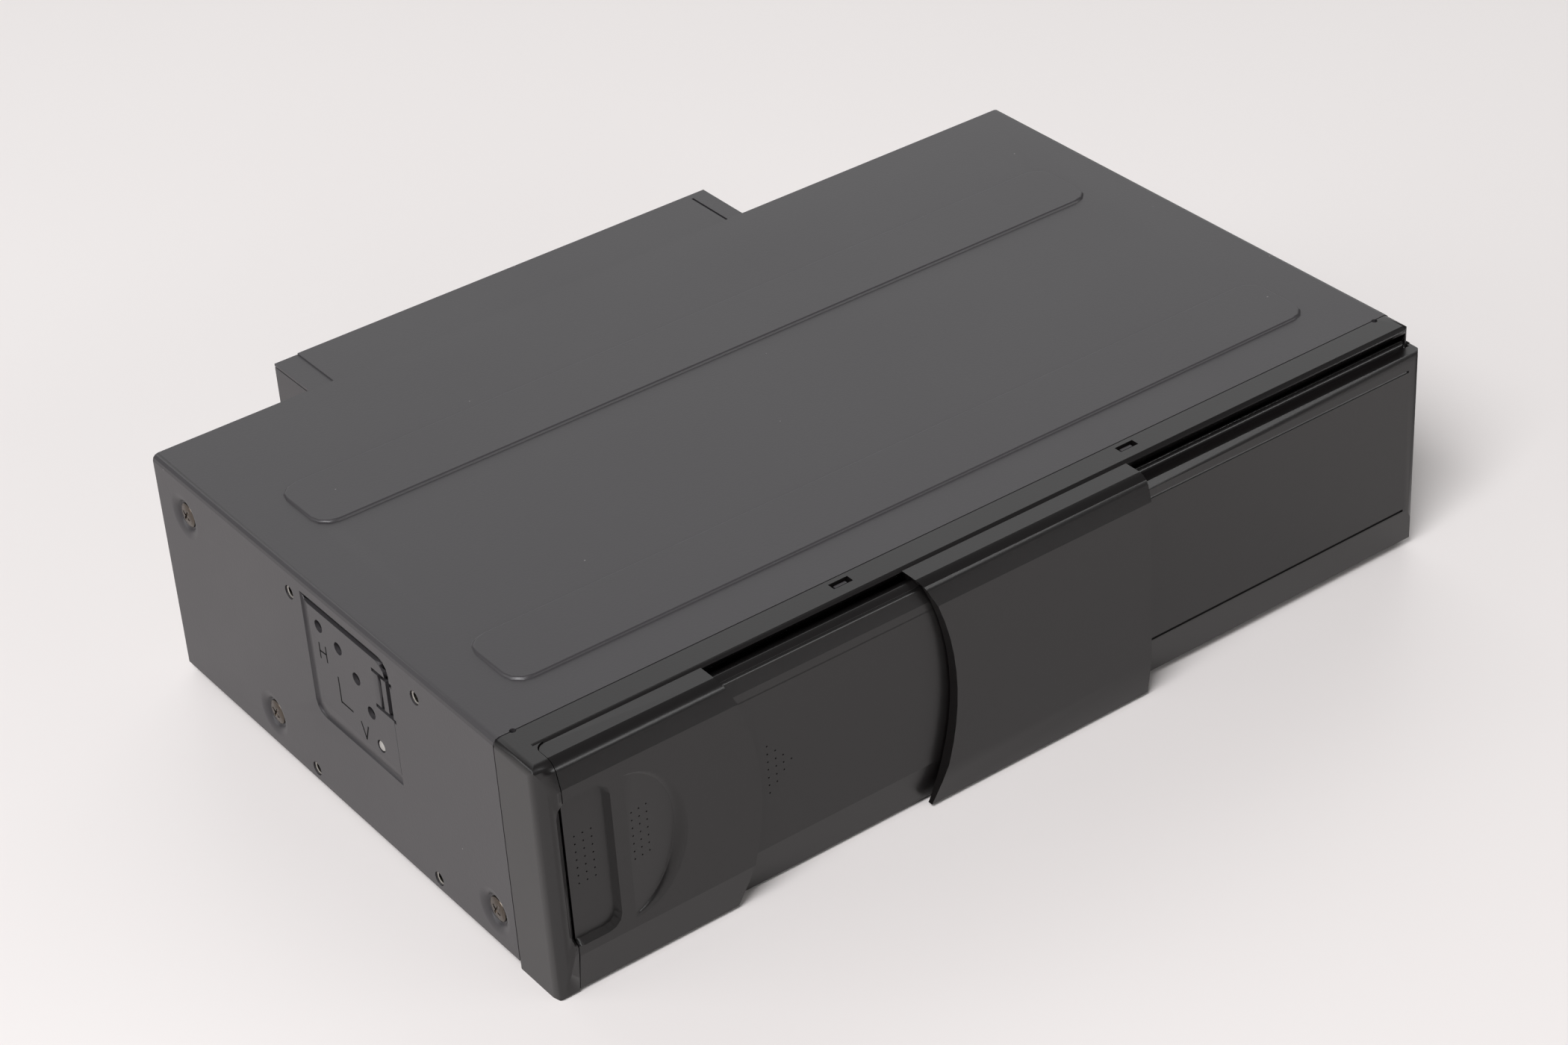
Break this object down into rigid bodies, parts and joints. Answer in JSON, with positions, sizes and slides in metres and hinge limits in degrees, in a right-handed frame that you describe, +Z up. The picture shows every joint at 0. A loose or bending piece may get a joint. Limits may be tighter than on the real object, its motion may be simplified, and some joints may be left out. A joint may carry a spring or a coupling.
{
  "type": "car cd changer",
  "caption": "Boot-mounted CD changer: folded steel case with a sliding front shutter, disc magazine with trays that slide out, lifting drive and rear connector box.",
  "frame": {"origin": "on the floor under the middle of the whole unit, feet at z = 0", "axes": "+X to the right along the front, +Y from the front to the rear box, +Z up"},
  "size_m": [0.255, 0.1802, 0.0617],
  "materials": {
    "satin_paint": "satin",
    "black_plastic": "fine grain",
    "dark_steel": "dark plated",
    "bright_steel": "plain",
    "zinc_sheet": "zinc plated",
    "rubber": "matte",
    "magazine_plastic": "fine grain",
    "tray_plastic": "plain",
    "disc_mirror": "mirror coated",
    "board_green": "lacquered",
    "acetal": "plain"
  },
  "bodies": {
    "chassis": {"top_cover": "satin_paint", "base_pan": "zinc_sheet", "front_bezel": "black_plastic", "right_front_panel": "black_plastic", "rear_box": "satin_paint", "rear_box_cover": "satin_paint", "power_socket": "black_plastic", "data_socket": "black_plastic", "main_board": "board_green", "mechanism_frame": "zinc_sheet", "magazine_case": "magazine_plastic", "lift_motor": "bright_steel", "damper_front_left": "rubber", "damper_front_right": "rubber", "damper_rear_left": "rubber", "damper_rear_right": "rubber", "side_screw_left_1": "dark_steel", "side_screw_left_2": "dark_steel", "side_screw_left_3": "dark_steel", "side_screw_right_1": "dark_steel", "side_screw_right_2": "dark_steel", "side_screw_right_3": "dark_steel", "tray_2": "tray_plastic", "disc_2": "disc_mirror", "tray_3": "tray_plastic", "disc_3": "disc_mirror", "tray_4": "tray_plastic", "disc_4": "disc_mirror", "tray_5": "tray_plastic", "disc_5": "disc_mirror", "tray_6": "tray_plastic", "disc_6": "disc_mirror"},
    "grip_leaf": {"grip_leaf": "black_plastic"},
    "middle_leaf": {"middle_leaf": "black_plastic"},
    "centre_leaf": {"centre_leaf": "black_plastic"},
    "eject_button": {"eject_button": "black_plastic"},
    "angle_selector_left": {"angle_selector_left": "bright_steel"},
    "angle_selector_right": {"angle_selector_right": "bright_steel"},
    "tray": {"tray_1": "tray_plastic", "disc_1": "disc_mirror"},
    "drive": {"drive_deck": "zinc_sheet", "spindle_motor": "bright_steel", "guide_rod_front": "bright_steel", "guide_rod_rear": "bright_steel", "feed_motor": "bright_steel", "draw_motor": "bright_steel"},
    "turntable": {"turntable": "black_plastic"},
    "pickup_sled": {"pickup_sled": "black_plastic"},
    "feed_screw": {"feed_screw": "bright_steel"},
    "clamp_arm": {"clamp_arm": "acetal"},
    "clamp_disc": {"clamp_disc": "acetal"},
    "tray_puller": {"tray_puller": "acetal"},
    "draw_screw": {"draw_screw": "bright_steel"},
    "cam_plate_front": {"cam_plate_front": "bright_steel"},
    "cam_plate_rear": {"cam_plate_rear": "bright_steel"},
    "lift_gear": {"lift_gear": "acetal"}
  },
  "joints": [
    {"name": "shutter_slide", "type": "slide", "parent": "chassis", "child": "grip_leaf", "axis": [1, 0, 0], "range_m": [0, 0.1375]},
    {"name": "middle_leaf_slide", "type": "slide", "parent": "chassis", "child": "middle_leaf", "axis": [1, 0, 0], "range_m": [0, 0.0991]},
    {"name": "centre_leaf_slide", "type": "slide", "parent": "chassis", "child": "centre_leaf", "axis": [1, 0, 0], "range_m": [0, 0.0846]},
    {"name": "eject_press", "type": "slide", "parent": "chassis", "child": "eject_button", "axis": [0, 1, 0], "range_m": [0, 0.003], "stiffness_N_per_m": 300, "springref_m": -0.002},
    {"name": "angle_left", "type": "hinge", "parent": "chassis", "child": "angle_selector_left", "pos_m": [-0.1249, 0.0001, 0.0275], "axis": [-1, 0, 0], "range_deg": [0, 80]},
    {"name": "angle_right", "type": "hinge", "parent": "chassis", "child": "angle_selector_right", "pos_m": [0.1249, 0.0001, 0.0275], "axis": [-1, 0, 0], "range_deg": [0, 80]},
    {"name": "lift", "type": "slide", "parent": "chassis", "child": "drive", "axis": [0, 0, -1], "range_m": [-0.023, 0]},
    {"name": "cam_front_slide", "type": "slide", "parent": "chassis", "child": "cam_plate_front", "axis": [1, 0, 0], "range_m": [0, 0.0185]},
    {"name": "cam_rear_slide", "type": "slide", "parent": "chassis", "child": "cam_plate_rear", "axis": [1, 0, 0], "range_m": [0, 0.0185]},
    {"name": "lift_gear_turn", "type": "hinge", "parent": "chassis", "child": "lift_gear", "pos_m": [0.0025, 0.0529, 0.0091], "axis": [0, 0, -1], "range_deg": [0, 165]},
    {"name": "tray_draw", "type": "slide", "parent": "chassis", "child": "tray", "axis": [1, 0, 0], "range_m": [0, 0.082]},
    {"name": "puller_slide", "type": "slide", "parent": "drive", "child": "tray_puller", "axis": [1, 0, 0], "range_m": [0, 0.082]},
    {"name": "draw_screw_turn", "type": "hinge", "parent": "drive", "child": "draw_screw", "pos_m": [0.0151, 0.0551, 0.0164], "axis": [1, 0, 0], "range_deg": [0, 1800]},
    {"name": "sled_slide", "type": "slide", "parent": "drive", "child": "pickup_sled", "axis": [1, 0, 0], "range_m": [0, 0.033]},
    {"name": "feed_screw_turn", "type": "hinge", "parent": "drive", "child": "feed_screw", "pos_m": [0.0435, 0.0139, 0.0146], "axis": [1, 0, 0], "range_deg": [0, 1800]},
    {"name": "turntable_spin", "type": "hinge", "parent": "drive", "child": "turntable", "pos_m": [0.0305, -0.0101, 0.0176], "axis": [0, 0, 1], "continuous": true},
    {"name": "clamp_arm_turn", "type": "hinge", "parent": "drive", "child": "clamp_arm", "pos_m": [0.112, -0.0101, 0.0275], "axis": [0, 1, 0], "range_deg": [-2.5, 0], "stiffness_Nm_per_rad": 0.05, "springref_deg": 11.46},
    {"name": "clamp_spin", "type": "hinge", "parent": "clamp_arm", "child": "clamp_disc", "pos_m": [0.0305, -0.0101, 0.024], "axis": [0, 0, 1], "continuous": true}
  ],
  "couplings": [
    {"joint": "middle_leaf_slide", "follows": "shutter_slide", "ratio": 0.72},
    {"joint": "centre_leaf_slide", "follows": "shutter_slide", "ratio": 0.6145},
    {"joint": "cam_front_slide", "follows": "lift", "ratio": -0.8},
    {"joint": "cam_rear_slide", "follows": "lift", "ratio": -0.8},
    {"joint": "lift_gear_turn", "follows": "lift", "rad_per_m": -125},
    {"joint": "puller_slide", "follows": "tray_draw", "ratio": 1},
    {"joint": "draw_screw_turn", "follows": "tray_draw", "rad_per_m": 383.1},
    {"joint": "feed_screw_turn", "follows": "sled_slide", "rad_per_m": 951.9}
  ]
}
